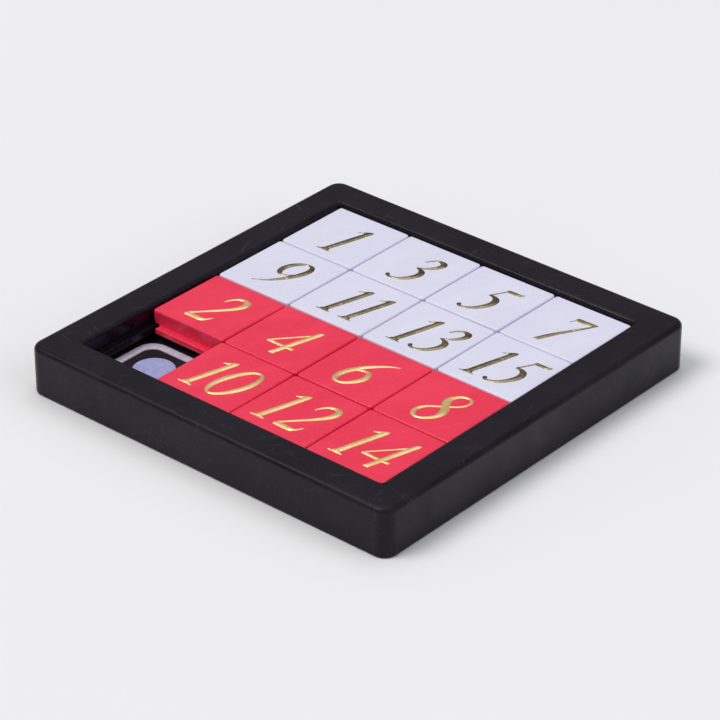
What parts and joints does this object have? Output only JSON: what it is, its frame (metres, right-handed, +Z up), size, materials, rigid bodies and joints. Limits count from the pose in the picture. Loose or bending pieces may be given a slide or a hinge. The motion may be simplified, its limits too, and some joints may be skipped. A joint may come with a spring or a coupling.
{
  "type": "sliding tile puzzle",
  "caption": "Square number puzzle: a black frame holds tongue-and-groove tiles that slide one at a time into an empty cell, over a plate let into its back.",
  "frame": {"origin": "middle of the square, on the plane that the frame's rim rests on", "axes": "+X along the rows to the right, +Y up the columns towards the first row, +Z up out of the numbered faces"},
  "size_m": [0.06, 0.06, 0.007],
  "materials": {
    "frame_black": "satin moulded black",
    "back_black": "fine matte moulded black",
    "marker_pale": "satin pale blue-grey sheet",
    "marker_blue": "satin pale blue sheet",
    "tile_white": "glossy cool white, gold foil numeral",
    "tile_red": "glossy warm red, gold foil numeral"
  },
  "bodies": {
    "case": {"frame": "frame_black", "back_plate": "back_black", "floor_ring": "marker_pale", "floor_disc": "marker_blue"},
    "tile_01": {"tile_01": "tile_white"},
    "tile_02": {"tile_02": "tile_red"},
    "tile_03": {"tile_03": "tile_white"},
    "tile_04": {"tile_04": "tile_red"},
    "tile_05": {"tile_05": "tile_white"},
    "tile_06": {"tile_06": "tile_red"},
    "tile_07": {"tile_07": "tile_white"},
    "tile_08": {"tile_08": "tile_red"},
    "tile_09": {"tile_09": "tile_white"},
    "tile_10": {"tile_10": "tile_red"},
    "tile_11": {"tile_11": "tile_white"},
    "tile_12": {"tile_12": "tile_red"},
    "tile_13": {"tile_13": "tile_white"},
    "tile_14": {"tile_14": "tile_red"},
    "tile_15": {"tile_15": "tile_white"}
  },
  "joints": [
    {"name": "tile_02_down", "type": "slide", "parent": "case", "child": "tile_02", "axis": [0, -1, 0], "range_m": [0, 0.0125]},
    {"name": "tile_09_down", "type": "slide", "parent": "case", "child": "tile_09", "axis": [0, -1, 0], "range_m": [0, 0.0125]},
    {"name": "tile_01_down", "type": "slide", "parent": "case", "child": "tile_01", "axis": [0, -1, 0], "range_m": [0, 0.0125]},
    {"name": "tile_10_left", "type": "slide", "parent": "case", "child": "tile_10", "axis": [1, 0, 0], "range_m": [-0.0125, 0]},
    {"name": "tile_12_left", "type": "slide", "parent": "case", "child": "tile_12", "axis": [1, 0, 0], "range_m": [-0.0125, 0]},
    {"name": "tile_14_left", "type": "slide", "parent": "case", "child": "tile_14", "axis": [1, 0, 0], "range_m": [-0.0125, 0]},
    {"name": "tile_03_play", "type": "slide", "parent": "case", "child": "tile_03", "axis": [1, 0, 0], "range_m": [-0.0001, 0.0001]},
    {"name": "tile_04_play", "type": "slide", "parent": "case", "child": "tile_04", "axis": [1, 0, 0], "range_m": [-0.0001, 0.0001]},
    {"name": "tile_05_play", "type": "slide", "parent": "case", "child": "tile_05", "axis": [1, 0, 0], "range_m": [-0.0001, 0.0001]},
    {"name": "tile_06_play", "type": "slide", "parent": "case", "child": "tile_06", "axis": [1, 0, 0], "range_m": [-0.0001, 0.0001]},
    {"name": "tile_07_play", "type": "slide", "parent": "case", "child": "tile_07", "axis": [1, 0, 0], "range_m": [-0.0001, 0.0001]},
    {"name": "tile_08_play", "type": "slide", "parent": "case", "child": "tile_08", "axis": [1, 0, 0], "range_m": [-0.0001, 0.0001]},
    {"name": "tile_11_play", "type": "slide", "parent": "case", "child": "tile_11", "axis": [1, 0, 0], "range_m": [-0.0001, 0.0001]},
    {"name": "tile_13_play", "type": "slide", "parent": "case", "child": "tile_13", "axis": [1, 0, 0], "range_m": [-0.0001, 0.0001]},
    {"name": "tile_15_play", "type": "slide", "parent": "case", "child": "tile_15", "axis": [1, 0, 0], "range_m": [-0.0001, 0.0001]}
  ],
  "couplings": [
    {"joint": "tile_09_down", "follows": "tile_02_down", "ratio": 1},
    {"joint": "tile_01_down", "follows": "tile_02_down", "ratio": 1},
    {"joint": "tile_12_left", "follows": "tile_10_left", "ratio": 1},
    {"joint": "tile_14_left", "follows": "tile_10_left", "ratio": 1}
  ]
}
